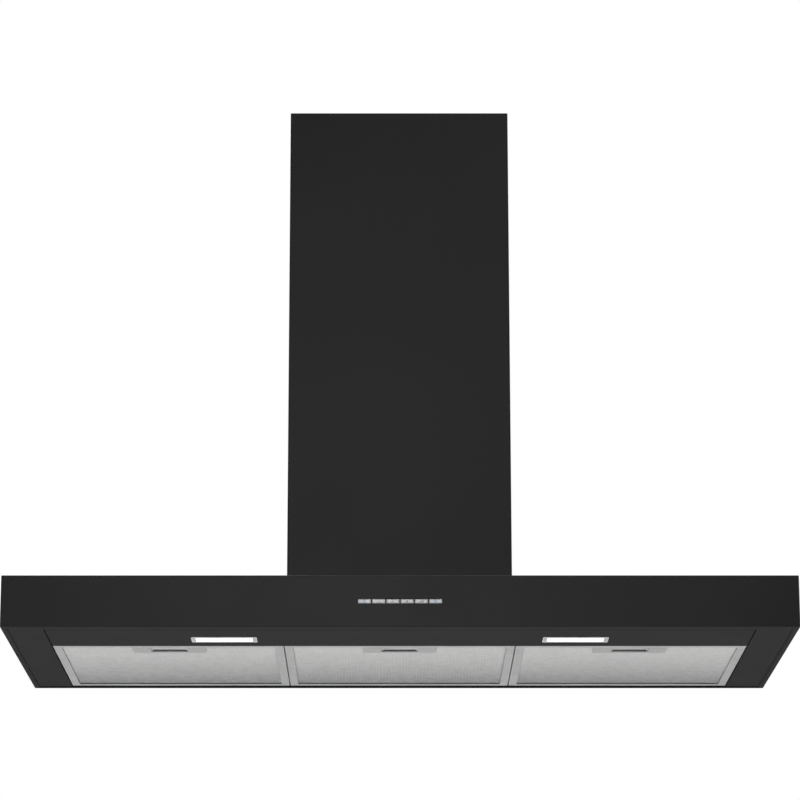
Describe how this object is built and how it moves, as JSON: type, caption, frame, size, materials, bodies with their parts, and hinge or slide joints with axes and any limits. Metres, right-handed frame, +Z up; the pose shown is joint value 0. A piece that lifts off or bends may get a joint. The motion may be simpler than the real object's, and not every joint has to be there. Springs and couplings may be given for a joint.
{
  "type": "chimney range hood",
  "caption": "Wall-mounted chimney range hood with a low wide canopy, mesh grease filters that drop at the front, a lamp panel, push buttons and a telescopic chimney over the blower.",
  "frame": {"origin": "bottom centre: under the middle of the canopy, at the level of its lowest face", "axes": "+X to the right, +Y to the wall, +Z up the chimney"},
  "size_m": [1.2, 0.5, 0.905],
  "materials": {
    "canopy_paint": "satin black powder coat",
    "underside_paint": "satin black powder coat",
    "chimney_paint": "satin black powder coat",
    "lamp_bezel": "satin silver",
    "lamp_diffuser": "frosted, lit",
    "white_plastic": "moulded",
    "black_plastic": "moulded, fine grain",
    "circuit_board": "solder resist",
    "transformer_core": "lacquered laminations",
    "galvanised_steel": "hot-dip galvanised sheet",
    "motor_case": "zinc plated",
    "bright_steel": "plated, fine turned",
    "loom_sleeve": "soft PVC sleeve",
    "filter_aluminium": "rolled, satin",
    "mesh_aluminium": "expanded foil, bright",
    "handle_aluminium": "anodised, satin",
    "latch_steel": "zinc plated",
    "spring_steel": "drawn wire",
    "button_cap": "silver lacquer"
  },
  "bodies": {
    "canopy": {"canopy_shell": "canopy_paint", "under_frame": "underside_paint", "light_panel": "underside_paint", "lamp_housing_left": "lamp_bezel", "lamp_lens_left": "lamp_diffuser", "lamp_housing_right": "lamp_bezel", "lamp_lens_right": "lamp_diffuser", "led_driver": "white_plastic", "button_carrier": "black_plastic", "control_board": "circuit_board", "electronics_box": "black_plastic", "electronics_cover": "black_plastic", "power_board": "circuit_board", "transformer": "transformer_core", "blower_box": "galvanised_steel", "blower_scroll": "galvanised_steel", "scroll_cover": "galvanised_steel", "motor": "motor_case", "motor_bracket": "galvanised_steel", "blower_rail_front": "galvanised_steel", "blower_rail_rear": "galvanised_steel", "run_capacitor": "white_plastic", "cable_gland": "black_plastic", "button_loom": "loom_sleeve", "motor_loom": "loom_sleeve", "outlet_collar": "black_plastic", "damper_pin": "bright_steel", "lower_chimney": "chimney_paint", "wall_bracket_left": "galvanised_steel", "wall_bracket_right": "galvanised_steel", "levelling_screw_left": "bright_steel", "levelling_screw_right": "bright_steel"},
    "chimney_extension": {"upper_chimney": "chimney_paint", "chimney_wall_bracket": "galvanised_steel"},
    "fan_wheel": {"impeller": "black_plastic", "motor_shaft": "bright_steel"},
    "damper_front": {"damper_flap_front": "black_plastic"},
    "damper_rear": {"damper_flap_rear": "black_plastic"},
    "filter_left": {"filter_frame_left": "filter_aluminium", "filter_mesh_left": "mesh_aluminium", "handle_plate_left": "handle_aluminium", "latch_spring_left": "spring_steel"},
    "latch_left_slider": {"latch_left": "latch_steel"},
    "filter_centre": {"filter_frame_centre": "filter_aluminium", "filter_mesh_centre": "mesh_aluminium", "handle_plate_centre": "handle_aluminium", "latch_spring_centre": "spring_steel"},
    "latch_centre_slider": {"latch_centre": "latch_steel"},
    "filter_right": {"filter_frame_right": "filter_aluminium", "filter_mesh_right": "mesh_aluminium", "handle_plate_right": "handle_aluminium", "latch_spring_right": "spring_steel"},
    "latch_right_slider": {"latch_right": "latch_steel"},
    "key_1": {"button_1": "button_cap"},
    "key_2": {"button_2": "button_cap"},
    "key_3": {"button_3": "button_cap"},
    "key_4": {"button_4": "button_cap"},
    "key_5": {"button_5": "button_cap"},
    "key_6": {"button_6": "button_cap"}
  },
  "joints": [
    {"name": "chimney_telescope", "type": "slide", "parent": "canopy", "child": "chimney_extension", "axis": [0, 0, 1], "range_m": [0, 0.34]},
    {"name": "fan_spin", "type": "hinge", "parent": "canopy", "child": "fan_wheel", "pos_m": [-0.059, 0.115, 0.1926], "axis": [0, 1, 0], "continuous": true},
    {"name": "damper_front_hinge", "type": "hinge", "parent": "canopy", "child": "damper_front", "pos_m": [0, 0.115, 0.3656], "axis": [-1, 0, 0], "range_deg": [0, 75]},
    {"name": "damper_rear_hinge", "type": "hinge", "parent": "canopy", "child": "damper_rear", "pos_m": [0, 0.115, 0.3656], "axis": [1, 0, 0], "range_deg": [0, 75]},
    {"name": "filter_left_drop", "type": "hinge", "parent": "canopy", "child": "filter_left", "pos_m": [-0.3575, 0.236, 0.002], "axis": [1, 0, 0], "range_deg": [0, 75]},
    {"name": "latch_left_pull", "type": "slide", "parent": "filter_left", "child": "latch_left_slider", "axis": [0, 1, 0], "range_m": [0, 0.0065], "stiffness_N_per_m": 500, "springref_m": -0.004, "deforming": ["latch_spring_left"]},
    {"name": "filter_centre_drop", "type": "hinge", "parent": "canopy", "child": "filter_centre", "pos_m": [0, 0.236, 0.002], "axis": [1, 0, 0], "range_deg": [0, 75]},
    {"name": "latch_centre_pull", "type": "slide", "parent": "filter_centre", "child": "latch_centre_slider", "axis": [0, 1, 0], "range_m": [0, 0.0065], "stiffness_N_per_m": 500, "springref_m": -0.004, "deforming": ["latch_spring_centre"]},
    {"name": "filter_right_drop", "type": "hinge", "parent": "canopy", "child": "filter_right", "pos_m": [0.3575, 0.236, 0.002], "axis": [1, 0, 0], "range_deg": [0, 75]},
    {"name": "latch_right_pull", "type": "slide", "parent": "filter_right", "child": "latch_right_slider", "axis": [0, 1, 0], "range_m": [0, 0.0065], "stiffness_N_per_m": 500, "springref_m": -0.004, "deforming": ["latch_spring_right"]},
    {"name": "button_1_press", "type": "slide", "parent": "canopy", "child": "key_1", "axis": [0, 1, 0], "range_m": [0, 0.0015], "stiffness_N_per_m": 800, "springref_m": -0.001},
    {"name": "button_2_press", "type": "slide", "parent": "canopy", "child": "key_2", "axis": [0, 1, 0], "range_m": [0, 0.0015], "stiffness_N_per_m": 800, "springref_m": -0.001},
    {"name": "button_3_press", "type": "slide", "parent": "canopy", "child": "key_3", "axis": [0, 1, 0], "range_m": [0, 0.0015], "stiffness_N_per_m": 800, "springref_m": -0.001},
    {"name": "button_4_press", "type": "slide", "parent": "canopy", "child": "key_4", "axis": [0, 1, 0], "range_m": [0, 0.0015], "stiffness_N_per_m": 800, "springref_m": -0.001},
    {"name": "button_5_press", "type": "slide", "parent": "canopy", "child": "key_5", "axis": [0, 1, 0], "range_m": [0, 0.0015], "stiffness_N_per_m": 800, "springref_m": -0.001},
    {"name": "button_6_press", "type": "slide", "parent": "canopy", "child": "key_6", "axis": [0, 1, 0], "range_m": [0, 0.0015], "stiffness_N_per_m": 800, "springref_m": -0.001}
  ]
}
